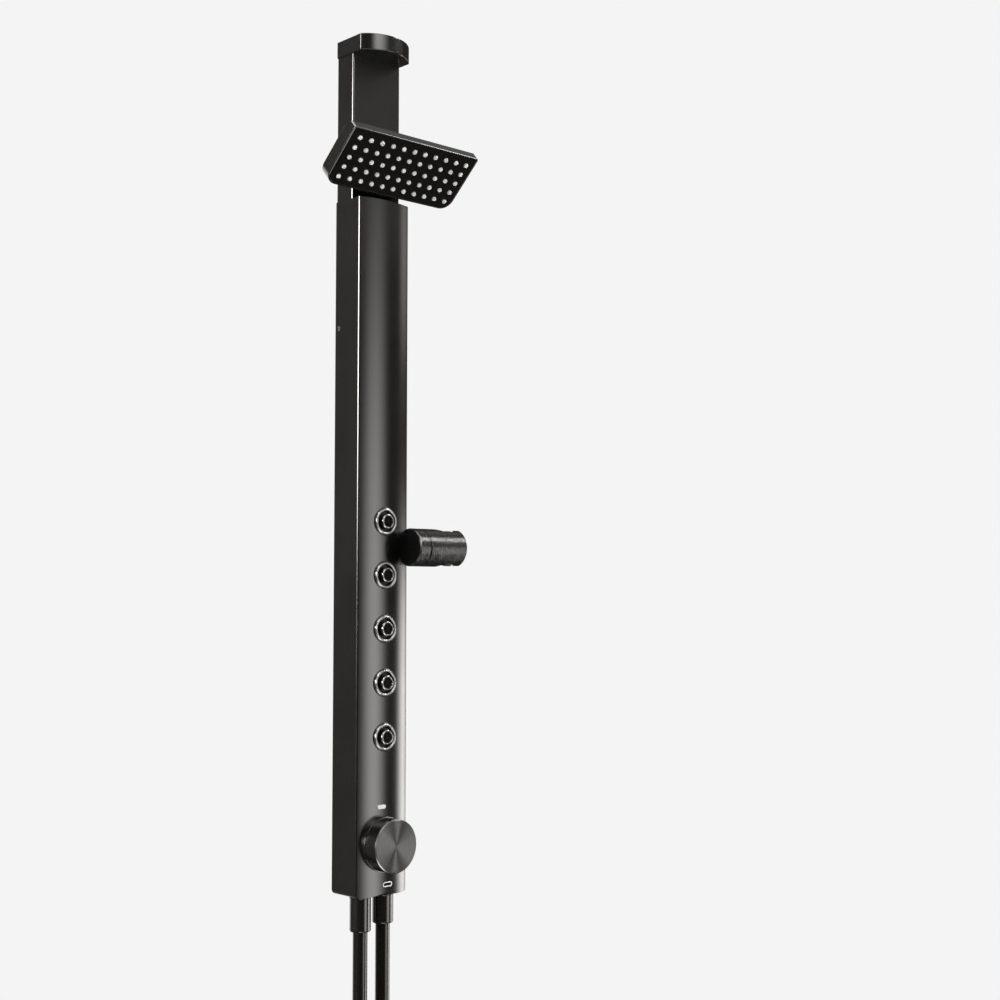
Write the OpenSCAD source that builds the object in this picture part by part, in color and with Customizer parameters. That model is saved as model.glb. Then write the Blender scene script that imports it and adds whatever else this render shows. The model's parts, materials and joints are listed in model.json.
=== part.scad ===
// Wall-hung shower column with a hinged rain head, five swivelling body jets,
// a swivelling handset holder, one mixer knob and two supply hoses.
// X runs to the right, Y into the wall and Z up. The origin is the middle of the
// upper bracket's screw line, on the wall face. Lengths are in millimetres.

/* [Column] */
// Height from the foot to the top of the cap
column_h = 1000; // [960:10:1100]
// Width of the column
column_w = 74; // [72:0.5:82]
// Depth of the flat sides
column_side_d = 44; // [43:0.5:50]
// How far the front swells past the sides
column_bulge = 6; // [5:0.5:8]
// Wall of the extruded column
column_wall = 2.5; // [2.2:0.1:3]
// Radius along the front edges
column_edge_r = 2.4; // [1.5:0.1:3]
// Width of the lips along the open back
lip_w = 7; // [5:0.5:8]

/* [Upper section and caps] */
// Height of everything above the shoulder
upper_h = 194; // [190:1:230]
// Width of the flat upper section
rail_w = 71; // [69:0.5:72]
// Depth of the flat upper section
rail_d = 29; // [28:0.5:31]
// Height of the top cap
cap_h = 20; // [16:0.5:26]
// How far the top cap swells past its sides
cap_bulge = 17.5; // [14:0.5:20]
// Radius along the upper and lower edges of the top cap
cap_edge_r = 1.2; // [0.6:0.2:2]
// Thickness of the shoulder plate
shoulder_t = 4; // [3:0.5:5]
// Height of the foot cap
foot_h = 9; // [8:0.5:12]
// Radius of the foot cap's lower corners
foot_edge_r = 6; // [4:0.5:7]
// Radius along the lower front edge of the foot cap
foot_front_r = 3; // [2:0.5:5]
// How deep the caps plug into the column
plug_h = 16; // [12:1:18]
// Wall of the plugs
plug_wall = 3; // [2.5:0.5:4]

/* [Wall brackets] */
// Distance from the top of the cap to the upper bracket's screws
hang_drop = 70; // [62:1:80]
// Height from the lower bracket's screws up to the shoulder
lower_bracket_h = 151; // [120:1:260]
// Sheet thickness of the brackets
bracket_t = 3; // [2.5:0.5:3]
// Height of a bracket
bracket_h = 40; // [36:1:44]
// Depth of a bracket's side flanges
bracket_d = 16; // [15:0.5:18]
// Hole for a wall screw
wall_screw_d = 5.5; // [4.5:0.5:6]
// Distance between the wall screws of the upper bracket
upper_screw_pitch = 30; // [24:1:32]
// Distance between the wall screws of the lower bracket
lower_screw_pitch = 24; // [18:1:26]
// Diameter of the side screws
side_screw_d = 5; // [4:0.5:5]

/* [Rain head] */
// Width of the head
head_w = 187; // [170:1:210]
// Depth of the head, from its hinge edge to its front edge
head_d = 77; // [74:1:95]
// Thickness of the head's front edge
head_front_t = 12; // [11:0.5:14]
// Thickness of the head behind its sloping front
head_t = 17.5; // [16:0.5:20]
// Distance over which the head's back slopes up from its front edge
head_rise_d = 13; // [8:0.5:18]
// Tilt of the spray face at rest, from level
head_tilt = 42; // [36:1:46]
// Radius of the front corners
head_front_r = 3.5; // [3:0.5:8]
// Radius of the hinge-side corners
head_back_r = 15; // [10:0.5:20]
// Wall of the head shell
head_wall = 2.4; // [2:0.2:3]
// Thickness of the spray face
face_plate_t = 2.4; // [2:0.2:3]
// Number of nozzles across
nozzle_cols = 11; // [9:1:12]
// Number of nozzles from front to back
nozzle_rows = 5; // [4:1:5]
// Distance from the head's sides to the outer nozzles
nozzle_side_margin = 13.5; // [12:0.5:18]
// Distance from the head's front and back to the outer nozzles
nozzle_end_margin = 12; // [11:0.5:16]
// Diameter of a nozzle
nozzle_d = 5.6; // [5:0.2:6.4]
// How far a nozzle stands out of the face
nozzle_out = 2.2; // [1.6:0.2:2.4]

/* [Head hinge] */
// Distance from the upper section's front to the hinge axis
pivot_standoff = 13.5; // [13:0.5:16]
// Height of the hinge axis above the shoulder
pivot_rise = 25; // [24.5:0.5:32]
// Diameter of the hinge barrel
barrel_d = 16; // [15:0.5:17]
// Length of the hinge barrel
barrel_len = 30; // [26:1:34]
// Diameter of the hinge bolt
pivot_bolt_d = 8; // [6:0.5:9]
// Thickness of each hinge ear
ear_t = 6; // [4:0.5:8]
// Thickness of each friction washer
pivot_washer_t = 2; // [1.5:0.5:3]

/* [Body jets] */
// Number of body jets
jet_count = 5; // [3:1:5]
// Height of the lowest jet above the foot
first_jet_h = 180; // [170:1:184]
// Distance between jets
jet_pitch = 62; // [58:1:63]
// Outer diameter of a bezel
bezel_d = 33; // [31:0.5:35]
// Radius round a bezel's outer edge
bezel_edge_r = 1.4; // [0.6:0.2:1.4]
// Diameter of a jet socket
jet_socket_d = 27; // [26:0.5:28]
// Diameter of a spray cup
jet_cup_d = 17; // [15:0.5:18]
// Diameter of the swivel ball
jet_ball_d = 15; // [14:0.5:16]

/* [Handset holder] */
// Diameter of the holder
holder_d = 44; // [38:0.5:46]
// Height of the holder above the foot
holder_h = 398; // [396:0.5:399]
// Distance from the column's middle to the holder's neck
holder_neck_x = 23.75; // [23:0.25:24.5]
// Length of the fixed part of the holder
holder_base_len = 15.5; // [14:0.5:18]
// Length of the swivelling part of the holder
holder_arm_len = 56; // [52:1:64]
// Thickness of the friction disc between the two
holder_washer_t = 1.6; // [1:0.2:2.4]
// Bore for the handset's handle
handset_bore_d = 24.4; // [23:0.2:26]
// Width of the slot that lets the handset's hose in
handset_slot_w = 14; // [10:0.5:15]

/* [Knob and valve] */
// Diameter of the knob
knob_d = 61; // [56:0.5:63]
// Height of the knob's axis above the foot
knob_h = 58; // [56:1:64]
// Length of the knob
knob_len = 19; // [16:0.5:24]
// Chamfer round the knob's face
knob_chamfer = 1.4; // [0.8:0.2:2]
// Diameter of the valve body
valve_d = 42; // [40:0.5:44]
// Diameter of the cartridge
cartridge_d = 35; // [32:0.5:36]
// Diameter of the spindle
spindle_d = 8; // [7:0.5:9]

/* [Supply hoses] */
// Distance between the two inlets
inlet_pitch = 33; // [31:0.5:34]
// Distance from the wall to the inlets
inlet_y = 27; // [25:0.5:28]
// Diameter of a threaded inlet
inlet_d = 20.4; // [19:0.2:21]
// Diameter of a coupling nut
nut_d = 24.6; // [24:0.2:26]
// Height of the right coupling nut
nut_h = 34.5; // [26:0.5:42]
// Height of the left coupling nut
left_nut_h = 40; // [26:0.5:44]
// Diameter of a hose
hose_d = 17; // [14:0.5:18]
// Free length of a hose between its nuts
hose_len = 450; // [400:10:600]

/* [Hidden] */
function numbered(stem) = [for (i = [1 : jet_count]) str(stem, i)];

// Fits, cuts and roundness
overrun = 1;
running_gap = 0.05;
seat_gap = 0.1;
clear_gap = 0.3;
socket_share = 0.5;
$fn = 64;
rim_fn = 96;
arc_fn = 360;

// Column and caps
top_z = hang_drop;
foot_z = hang_drop - column_h;
shoulder_z = top_z - upper_h;
front_y = -(column_side_d + column_bulge);
arc_r = (column_w * column_w / 4 + column_bulge * column_bulge) / (2 * column_bulge);
arc_y = front_y + arc_r;
cap_arc_r = (column_w * column_w / 4 + cap_bulge * cap_bulge) / (2 * cap_bulge);
cap_arc_y = -(column_side_d + cap_bulge) + cap_arc_r;
plug_inset = column_wall + seat_gap;
upper_plug_h = 12;

// Wall brackets
bracket_gap = 0.5;
lower_bracket_z = shoulder_z - lower_bracket_h;
upper_bracket_half = rail_w / 2 - column_wall - lip_w - bracket_gap;
lower_bracket_half = column_w / 2 - column_wall - lip_w - bracket_gap;
hanger_t = 4;
hanger_h = 6;
hanger_y = -12;
hanger_slot_depth = 8;
hanger_seat_z = bracket_h / 2 - hanger_slot_depth;
side_screw_y = -6;
side_screw_recess = 0.4;

// Head hinge
pivot_y = -(rail_d + pivot_standoff);
pivot_z = shoulder_z + pivot_rise;
mount_plate_w = 52;
mount_plate_h = 28;
mount_plate_t = 3;
mount_front_y = -rail_d - mount_plate_t;
mount_spigot_d = 16;
mount_nut_d = 24;
mount_nut_t = 3;
mount_nut_y = -rail_d + column_wall;
ear_in = barrel_len / 2 + pivot_washer_t + 2 * running_gap;
ear_out = ear_in + ear_t;
ear_d = barrel_d + 1;
bolt_head_d = 13;
bolt_head_t = 4;
bolt_socket_d = 5;
pivot_nut_t = 4;

// Rain head, in its own frame
head_back_reach = 8;
head_clear = 1;
head_seat = -barrel_d / 2 - head_clear;
head_bottom = head_seat - head_front_t;
head_top = head_bottom + head_t;
head_front = head_back_reach - head_d;
face_top = head_bottom + face_plate_t;
mat_t = 1.6;
nozzle_hole_d = 1.2;
nozzle_fn = 24;
nozzle_pitch_x = (head_w - 2 * nozzle_side_margin) / (nozzle_cols - 1);
nozzle_pitch_y = (head_d - 2 * nozzle_end_margin) / (nozzle_rows - 1);
swivel_pad_w = 44;
swivel_pad_t = 3;
swivel_pad_y = -18;
swivel_web_w = 24;
head_way_d = 7;
head_screw_d = 4;
head_screw_x = 17;
head_screw_head_d = 7;
head_screw_head_t = 2.4;
head_boss_d = 9;
head_boss_h = 3;
head_screw_in = 4.4;
recess_gap = 1.5;
recess_half = ear_out + bolt_head_t + recess_gap;
recess_front = swivel_pad_y - barrel_d / 2 - recess_gap;

// Riser and the pipe to the head
riser_y = -17;
riser_d = 18;
riser_bore_d = 12.1;
riser_over_jet = 24;
riser_stub_h = 6;
riser_bottom_z = foot_z + knob_h + valve_d / 2 + riser_stub_h;
riser_top_z = jet_z(1) + riser_over_jet;
boss_d = 16;
boss_front_y = -28;
feed_d = riser_bore_d - 2 * running_gap;
feed_bore_d = 9;
feed_joint = 12;
mount_spigot_back_y = riser_y - feed_d / 2 - clear_gap;

// Body jets
bezel_seat = 1.3;
bezel_t = 3;
bezel_lip_t = 1;
bezel_lip_w = 1;
bezel_back_y = front_y + bezel_seat;
bezel_bore_d = jet_socket_d - 2 * bezel_lip_w;
socket_front_y = bezel_back_y - bezel_t + bezel_lip_t;
socket_recess = 4.5;
socket_back_y = -33;
ball_y = -40.5;
ball_lip = 0.8;
cup_standoff = 7.9;
cup_back_y = ball_y - cup_standoff;
cup_len = 6.6;
cup_front_y = cup_back_y - cup_len;
cup_neck_d = 9;
cup_neck_in = 1;
cup_bore_d = 4.5;
cup_wall = 1.9;
spray_disc_d = jet_cup_d - 2 * cup_wall - 2 * seat_gap;
spray_disc_t = 2.5;
spray_disc_inset = 1;
spray_disc_y = cup_front_y + spray_disc_inset;
spray_holes = 6;
spray_hole_d = 1.8;
spray_hole_pcd = 7.6;
jet_spigot_d = 11.8;
jet_spigot_in = 6;
jet_spigot_back_y = boss_front_y + jet_spigot_in;
jet_nut_t = 5;
jet_nut_d = 36;
jet_nut_y = chord_y(arc_r - column_wall, arc_y, jet_nut_d / 2) + seat_gap;

// Handset holder
holder_y = front_y - clear_gap - holder_d / 2;
holder_x = holder_neck_x - holder_base_len / 2;
holder_neck_d = 12;
holder_chamfer = 1.2;
holder_break = 0.2;
holder_stud_d = 10;
holder_stud_back_y = -36;
holder_nut_d = 16;
holder_nut_t = 5;
holder_nut_y = chord_y(arc_r - column_wall, arc_y, holder_neck_x + holder_nut_d / 2) + seat_gap;
axle_d = 10;
axle_head_d = 15;
axle_head_t = 5;
axle_grip = 10;
axle_root = 6;
washer_inset = 1.5;
holder_washer_d = holder_d - 2 * washer_inset;
holder_arm_x = holder_x + holder_base_len + holder_washer_t + 2 * running_gap;
handset_inset = 22;
handset_x = holder_arm_x + holder_arm_len - handset_inset;
handset_lead = 2;

// Knob and valve
valve_front_y = -37;
valve_back_y = -8;
cartridge_back_y = -12;
cartridge_neck_d = 20;
cartridge_neck_in = 1;
cartridge_neck_y = front_y + cartridge_neck_in;
cartridge_nut_d = 28;
cartridge_nut_t = 6;
knob_hole_d = 30;
trim_overlap = 0.8;
trim_proud = 2.2;
trim_reach = 8.2;
trim_bore_d = 22;
trim_d = knob_d + 2 * trim_overlap;
trim_front_y = front_y - trim_proud;
knob_back_y = trim_front_y - clear_gap;
knob_front_y = knob_back_y - knob_len;
knob_wall = 4;
knob_hub_d = 16;
knob_rear_chamfer = 0.8;
knob_fn = 128;
spindle_cover = 6;
spindle_back_y = -30;
spindle_front_y = knob_front_y + spindle_cover;
set_screw_d = 4;
set_screw_in = 9;
set_screw_y = knob_back_y - set_screw_in;

// Inlets, nuts and hoses
inlet_x = inlet_pitch / 2;
tail_bore_d = 12;
tail_out = 11;
tail_in = 24;
tail_clear = 1;
tail_boss_d = 25;
tail_boss_y = 1 - inlet_y;
tail_way_d = 8;
locknut_d = 29;
locknut_t = 6;
nut_gap = 0.6;
nut_collar_h = 2.2;
nut_collar_proud = 0.7;
nut_chamfer = 1.4;
end_nut_h = 24;
end_thread_d = 19;
end_thread_h = 12;
hose_sides = 12;

// How far down each hose its route's points lie, as shares of its length
hose_route_shares = [0, 0.08, 0.16, 0.24, 0.32, 0.4, 0.48, 0.56, 0.64, 0.72, 0.8, 0.9, 1];

// Inlaid marks
mark_t = 0.5;
mark_proud = 0.1;
upper_mark_w = 11.5;
upper_mark_d = 4.8;
upper_mark_x = -4;
upper_mark_z = foot_z + 101;
lower_mark_w = 14;
lower_mark_d = 6;
lower_mark_x = 5;
lower_mark_z = foot_z + 12.5;

charcoal = [0.13, 0.13, 0.13];
satin_black = [0.18, 0.18, 0.18];
polished = [0.75, 0.75, 0.77];
brass = [0.78, 0.62, 0.34];
grey_plastic = [0.55, 0.56, 0.57];
zinc = [0.66, 0.67, 0.68];
rubber_black = [0.08, 0.08, 0.08];
silicone = [0.72, 0.73, 0.73];

function jet_z(i) = foot_z + first_jet_h + (jet_count - i) * jet_pitch;

// Height of a coupling nut, and where its hose leaves it, for the left (-1) or right (1) inlet.
function nut_height(side) = side < 0 ? left_nut_h : nut_h;
function nut_bottom_z(side) = foot_z - nut_gap - nut_height(side);

// Where a circle's front lies, some distance from its middle.
function chord_y(r, cy, x) = cy - sqrt(r * r - x * x);

// A cylinder along Y from the wall side to the front side.
module y_rod(d, back_y, front, fn = $fn) {
    translate([0, back_y, 0])
        rotate([90, 0, 0])
            cylinder(d = d, h = back_y - front, $fn = fn);
}

// A cylinder along X.
module x_rod(d, x0, x1, fn = $fn) {
    translate([x0, 0, 0])
        rotate([0, 90, 0])
            cylinder(d = d, h = x1 - x0, $fn = fn);
}

// Its children on the right, and their mirror image on the left.
module both_sides() {
    for (side = [0, 1])
        mirror([side, 0, 0])
            children();
}

// A rounded rectangle, from its own lower middle.
module round_block(half, h, r) {
    for (side = [-1, 1])
        for (z = [r, h - r])
            translate([side * (half - r), z])
                circle(r = r);
    translate([-half, r])
        square([2 * half, h - 2 * r]);
    translate([-half + r, 0])
        square([2 * (half - r), h]);
}

// Flat sides, a circular front and round front edges.
module d_outline(half_w, r, cy, edge_r, back_y) {
    cx = half_w - edge_r;
    ey = chord_y(r - edge_r, cy, cx);
    k = r / (r - edge_r);
    tx = cx * k;
    ty = cy + (ey - cy) * k;
    far_y = cy - r - overrun;
    intersection() {
        translate([0, cy])
            circle(r = r, $fn = arc_fn);
        polygon([[-tx, ty], [-cx, ey], [cx, ey], [tx, ty], [tx, far_y], [-tx, far_y]]);
    }
    for (side = [-1, 1])
        translate([side * cx, ey])
            circle(r = edge_r);
    translate([-half_w, ey])
        square([2 * half_w, back_y - ey]);
}

// The column's outline, drawn in by some distance round its sides and front.
module column_outline(inset = 0, back_y = 0) {
    d_outline(column_w / 2 - inset, arc_r - inset, arc_y, column_edge_r, back_y);
}

module cap_outline() {
    d_outline(column_w / 2, cap_arc_r, cap_arc_y, column_edge_r, 0);
}

// The upper section's outline, with round front edges.
module rail_outline(inset = 0, back_y = 0) {
    half = rail_w / 2 - inset;
    front = -(rail_d - inset);
    r = column_edge_r;
    for (side = [-1, 1])
        translate([side * (half - r), front + r])
            circle(r = r);
    translate([-half, front + r])
        square([2 * half, back_y - front - r]);
    translate([-half + r, front])
        square([2 * (half - r), r]);
}

// Two return lips along the open back of an extrusion.
module back_lips(half_w) {
    for (side = [-1, 1])
        translate([side * (half_w - (lip_w + column_wall) / 2), -column_wall / 2])
            square([lip_w + column_wall, column_wall], center = true);
}

// Hollow plugs that fit inside the column and inside the upper section.
module column_plug() {
    linear_extrude(plug_h)
        difference() {
            column_outline(inset = plug_inset, back_y = -plug_inset);
            column_outline(inset = plug_inset + plug_wall, back_y = -plug_inset - plug_wall);
        }
}

module rail_plug(h) {
    linear_extrude(h)
        difference() {
            rail_outline(inset = plug_inset, back_y = -plug_inset);
            rail_outline(inset = plug_inset + plug_wall, back_y = -plug_inset - plug_wall);
        }
}

// A stadium with the given overall width and height, standing in XZ.
module pill(w, h, back_y, front) {
    translate([0, back_y, 0])
        rotate([90, 0, 0])
            linear_extrude(back_y - front) {
                for (side = [-1, 1])
                    translate([side * (w - h) / 2, 0])
                        circle(d = h);
                square([w - h, h], center = true);
            }
}

// Turns a shape at the middle of the column's round front so that it lies square on it at x.
module on_front(x) {
    translate([0, arc_y, 0])
        rotate([0, 0, asin(x / arc_r)])
            translate([0, -arc_y, 0])
                children();
}

module at_jet(i) {
    translate([0, 0, jet_z(i)])
        children();
}

module at_knob() {
    translate([0, 0, foot_z + knob_h])
        children();
}

module at_holder() {
    translate([0, holder_y, foot_z + holder_h])
        children();
}

module at_holder_neck() {
    translate([holder_neck_x, 0, foot_z + holder_h])
        children();
}

// The hinge's own frame, with X along its bolt.
module at_pivot() {
    translate([0, pivot_y, pivot_z])
        children();
}

// The head's own frame: X along the hinge, Y to the hinge edge, Z out of its back.
module at_head() {
    at_pivot()
        rotate([-head_tilt, 0, 0])
            children();
}

module column_housing() color(satin_black) difference() {
    translate([0, 0, foot_z + foot_h])
        linear_extrude(shoulder_z - shoulder_t - foot_z - foot_h) {
            difference() {
                column_outline();
                column_outline(inset = column_wall, back_y = overrun);
            }
            back_lips(column_w / 2);
        }
    for (i = [1 : jet_count])
        at_jet(i) {
            y_rod(jet_socket_d + 2 * seat_gap, jet_nut_y, front_y - overrun);
            y_rod(bezel_d + 2 * seat_gap, bezel_back_y, front_y - overrun);
        }
    at_knob()
        y_rod(knob_hole_d, valve_front_y, front_y - overrun);
    at_holder_neck()
        y_rod(holder_stud_d + 2 * seat_gap, holder_stud_back_y, front_y - overrun);
    on_front(upper_mark_x)
        translate([0, 0, upper_mark_z])
            pill(upper_mark_w, upper_mark_d, front_y + mark_t, front_y - overrun);
    on_front(lower_mark_x)
        translate([0, 0, lower_mark_z])
            pill(lower_mark_w, lower_mark_d, front_y + mark_t, front_y - overrun);
    translate([0, side_screw_y, lower_bracket_z])
        x_rod(side_screw_d + 2 * seat_gap, -column_w, column_w);
}

module upper_housing() color(satin_black) difference() {
    translate([0, 0, shoulder_z])
        linear_extrude(top_z - cap_h - shoulder_z) {
            difference() {
                rail_outline();
                rail_outline(inset = column_wall, back_y = overrun);
            }
            back_lips(rail_w / 2);
        }
    translate([0, 0, pivot_z])
        y_rod(mount_spigot_d + 2 * seat_gap, mount_nut_y + overrun, -rail_d - overrun);
}

module shoulder_plate() color(charcoal) {
    translate([0, 0, shoulder_z - shoulder_t])
        linear_extrude(shoulder_t)
            difference() {
                column_outline();
                rail_outline(inset = plug_inset + plug_wall, back_y = -plug_inset - plug_wall);
            }
    translate([0, 0, shoulder_z - shoulder_t - plug_h])
        column_plug();
    translate([0, 0, shoulder_z])
        rail_plug(upper_plug_h);
}

// A block with a round front, whose upper and lower edges are rounded.
module top_cap() color(charcoal) {
    translate([0, 0, top_z - cap_h])
        intersection() {
            linear_extrude(cap_h)
                cap_outline();
            translate([0, cap_arc_y, 0])
                rotate_extrude($fn = arc_fn)
                    intersection() {
                        round_block(cap_arc_r, cap_h, cap_edge_r);
                        square([cap_arc_r, cap_h]);
                    }
            rotate([90, 0, 0])
                linear_extrude(2 * column_w, center = true)
                    round_block(column_w / 2, cap_h, cap_edge_r);
        }
    translate([0, 0, top_z - cap_h - plug_h])
        rail_plug(plug_h);
}

// A tall outline whose two lower corners are round.
module foot_profile(half, r) {
    for (side = [-1, 1])
        translate([side * (half - r), r])
            circle(r = r);
    translate([-half, r])
        square([2 * half, foot_h]);
    translate([-half + r, 0])
        square([2 * (half - r), foot_h]);
}

module foot_cap() color(satin_black) difference() {
    union() {
        translate([0, 0, foot_z])
            intersection() {
                linear_extrude(foot_h)
                    column_outline();
                rotate([90, 0, 0])
                    linear_extrude(-2 * front_y, center = true)
                        foot_profile(column_w / 2, foot_edge_r);
                rotate([90, 0, 90])
                    linear_extrude(2 * column_w, center = true)
                        foot_profile(-front_y, foot_front_r);
            }
        translate([0, 0, foot_z + foot_h])
            column_plug();
    }
    for (side = [-1, 1])
        translate([side * inlet_x, -inlet_y, foot_z - overrun])
            cylinder(d = inlet_d + 2 * seat_gap, h = foot_h + 2 * overrun);
}

// A channel that is screwed to the wall, with its flanges towards the room.
module bracket(half_w) {
    translate([-half_w, -bracket_t, -bracket_h / 2])
        cube([2 * half_w, bracket_t, bracket_h]);
    both_sides()
        translate([half_w - bracket_t, -bracket_d, -bracket_h / 2])
            cube([bracket_t, bracket_d, bracket_h]);
}

module upper_bracket() color(zinc) difference() {
    bracket(upper_bracket_half);
    for (side = [-1, 1])
        translate([side * upper_screw_pitch / 2, 0, 0])
            y_rod(wall_screw_d, overrun, -bracket_t - overrun);
    translate([-rail_w / 2, hanger_y - hanger_t / 2 - seat_gap, hanger_seat_z])
        cube([rail_w, hanger_t + 2 * seat_gap, bracket_h]);
}

module hanger_bar() color(zinc) {
    half = rail_w / 2 - column_wall;
    translate([-half, hanger_y - hanger_t / 2, hanger_seat_z])
        cube([2 * half, hanger_t, hanger_h]);
}

module lower_bracket() color(zinc) translate([0, 0, lower_bracket_z]) difference() {
    bracket(lower_bracket_half);
    for (side = [-1, 1])
        translate([0, 0, side * lower_screw_pitch / 2])
            y_rod(wall_screw_d, overrun, -bracket_t - overrun);
    translate([0, side_screw_y, 0])
        x_rod(side_screw_d, -column_w, column_w);
}

module side_screws() color(polished) {
    outer = column_w / 2 - side_screw_recess;
    translate([0, side_screw_y, lower_bracket_z])
        both_sides()
            difference() {
                x_rod(side_screw_d, lower_bracket_half - bracket_t, outer);
                x_rod(side_screw_d * socket_share, outer - side_screw_d / 2, outer + overrun, 6);
            }
}

module head_mount() color(charcoal) translate([0, 0, pivot_z]) difference() {
    union() {
        translate([-mount_plate_w / 2, mount_front_y, -mount_plate_h / 2])
            cube([mount_plate_w, mount_plate_t, mount_plate_h]);
        y_rod(mount_spigot_d, mount_spigot_back_y, mount_front_y);
        both_sides() {
            translate([0, pivot_y, 0])
                x_rod(ear_d, ear_in, ear_out);
            translate([ear_in, pivot_y, -ear_d / 2])
                cube([ear_t, mount_front_y - pivot_y, ear_d]);
        }
    }
    translate([0, pivot_y, 0])
        x_rod(pivot_bolt_d, -mount_plate_w, mount_plate_w);
    y_rod(feed_bore_d, mount_spigot_back_y + overrun, mount_front_y - overrun);
}

module head_mount_nut() color(brass) translate([0, 0, pivot_z]) difference() {
    y_rod(mount_nut_d, mount_nut_y + mount_nut_t, mount_nut_y, 6);
    y_rod(mount_spigot_d, 0, -rail_d);
}

module pivot_bolt() color(zinc) at_pivot() difference() {
    union() {
        x_rod(pivot_bolt_d, -ear_out - bolt_head_t / 2, ear_out + pivot_nut_t);
        x_rod(bolt_head_d, -ear_out - bolt_head_t, -ear_out);
    }
    x_rod(bolt_socket_d, -ear_out - bolt_head_t - overrun, -ear_out - bolt_head_t / 2, 6);
}

module pivot_nut() color(zinc) at_pivot() difference() {
    x_rod(bolt_head_d, ear_out, ear_out + pivot_nut_t, 6);
    x_rod(pivot_bolt_d, 0, ear_out + pivot_nut_t + overrun);
}

module pivot_washers() color(rubber_black) at_pivot() both_sides() difference() {
    x_rod(barrel_d - 2 * washer_inset, ear_in - pivot_washer_t, ear_in);
    x_rod(pivot_bolt_d + 2 * running_gap, 0, ear_out);
}

// The head's plan, with its own radius at each end, drawn in all round.
module head_outline(inset = 0) {
    hw = head_w / 2 - inset;
    back = head_back_reach - inset;
    front = head_back_reach - head_d + inset;
    rf = head_front_r - inset;
    rb = head_back_r - inset;
    polygon([
        [-hw + rf, front], [hw - rf, front], [hw, front + rf], [hw, back - rb],
        [hw - rb, back], [-hw + rb, back], [-hw, back - rb], [-hw, front + rf]]);
    for (side = [-1, 1]) {
        translate([side * (hw - rf), front + rf])
            circle(r = rf);
        translate([side * (hw - rb), back - rb])
            circle(r = rb);
    }
}

module head_screw_places() {
    for (side = [-1, 1])
        translate([side * head_screw_x, swivel_pad_y, 0])
            children();
}

// The shell's side view: level below, with a back that slopes up from the front edge.
module head_profile() {
    polygon([
        [head_front, head_bottom], [head_back_reach, head_bottom], [head_back_reach, head_top],
        [head_front + head_rise_d, head_top], [head_front, head_seat]]);
}

// The room under the raised back, on both sides of the hinge recess and in front of it.
module head_room() {
    difference() {
        intersection() {
            head_outline(inset = head_wall);
            translate([-head_w / 2, head_front + head_rise_d])
                square([head_w, head_d]);
        }
        translate([-recess_half - head_wall, recess_front - head_wall])
            square([2 * (recess_half + head_wall), head_d]);
    }
}

module head_shell() color(charcoal) at_head() difference() {
    union() {
        difference() {
            intersection() {
                translate([0, 0, head_bottom])
                    linear_extrude(head_t)
                        head_outline();
                rotate([90, 0, 90])
                    linear_extrude(2 * head_w, center = true)
                        head_profile();
            }
            translate([0, 0, head_bottom - overrun])
                linear_extrude(head_front_t - head_wall + overrun)
                    head_outline(inset = head_wall);
            translate([0, 0, head_seat - head_wall - overrun])
                linear_extrude(head_top - head_seat + overrun)
                    head_room();
            translate([-recess_half, recess_front, head_seat])
                cube([2 * recess_half, head_d, head_t]);
        }
        head_screw_places()
            translate([0, 0, head_seat - head_wall - head_boss_h])
                cylinder(d = head_boss_d, h = head_wall + head_boss_h);
    }
    head_screw_places()
        translate([0, 0, head_seat - head_screw_in])
            cylinder(d = head_screw_d, h = head_screw_in + overrun);
    translate([0, 0, head_seat - head_wall - overrun])
        cylinder(d = head_way_d, h = head_wall + 2 * overrun);
}

module nozzle_places() {
    mid = head_back_reach - head_d / 2;
    for (i = [0 : nozzle_cols - 1])
        for (j = [0 : nozzle_rows - 1])
            translate([
                (i - (nozzle_cols - 1) / 2) * nozzle_pitch_x,
                mid + (j - (nozzle_rows - 1) / 2) * nozzle_pitch_y, 0])
                children();
}

module head_face_plate() color(charcoal) at_head() difference() {
    translate([0, 0, head_bottom])
        linear_extrude(face_plate_t)
            head_outline(inset = head_wall + seat_gap);
    nozzle_places()
        translate([0, 0, head_bottom - overrun])
            cylinder(d = nozzle_d + 2 * running_gap, h = face_plate_t + 2 * overrun, $fn = nozzle_fn);
}

// A sheet behind the face, with one hollow round-ended nub through each hole.
module nozzle_mat() color(silicone) at_head() difference() {
    union() {
        translate([0, 0, face_top])
            linear_extrude(mat_t)
                head_outline(inset = head_wall + seat_gap);
        nozzle_places() {
            translate([0, 0, head_bottom])
                cylinder(d = nozzle_d, h = face_plate_t, $fn = nozzle_fn);
            intersection() {
                translate([0, 0, head_bottom])
                    sphere(d = nozzle_d, $fn = nozzle_fn);
                translate([0, 0, head_bottom - nozzle_out])
                    cylinder(d = nozzle_d, h = nozzle_out, $fn = nozzle_fn);
            }
        }
    }
    nozzle_places()
        translate([0, 0, head_bottom - nozzle_out - overrun])
            cylinder(
                d = nozzle_hole_d, h = nozzle_out + face_plate_t + mat_t + 2 * overrun, $fn = nozzle_fn);
}

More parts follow.
